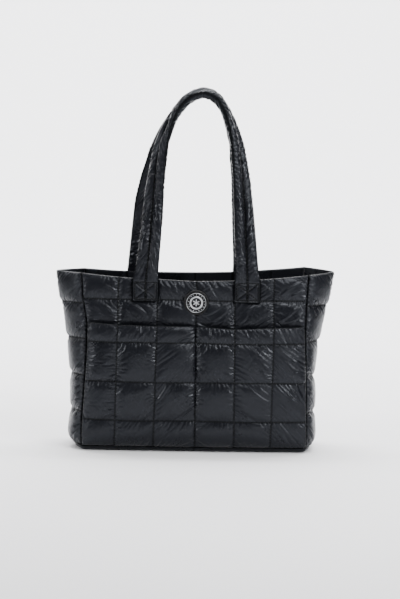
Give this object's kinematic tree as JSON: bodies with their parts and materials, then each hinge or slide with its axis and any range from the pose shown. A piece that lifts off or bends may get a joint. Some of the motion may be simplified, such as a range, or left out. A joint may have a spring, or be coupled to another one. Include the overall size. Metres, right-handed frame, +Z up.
{
  "type": "puffer tote bag",
  "caption": "Quilted black nylon puffer tote with an open top, folded side gussets, a divided front pocket, padded shoulder handles and a round badge.",
  "frame": {"origin": "middle of the flat underside of the base, midway between the side seams and between the front and back seams", "axes": "+Z up to the handles, front with the pocket and badge towards -Y, +X to the right of a viewer facing the front"},
  "size_m": [0.432, 0.1622, 0.5675],
  "materials": {
    "puffer_nylon": "glossy coated nylon taffeta, quilted over wadding",
    "badge_rubber": "matt moulded rubber",
    "badge_metal": "bright satin metal"
  },
  "bodies": {
    "root": {"front_panel": "puffer_nylon", "back_panel": "puffer_nylon", "gusset_left": "puffer_nylon", "gusset_right": "puffer_nylon", "base_panel": "puffer_nylon", "front_pocket": "puffer_nylon", "handle_front": "puffer_nylon", "handle_back": "puffer_nylon", "badge_disc": "badge_rubber", "badge_plate": "badge_metal"}
  },
  "joints": []
}
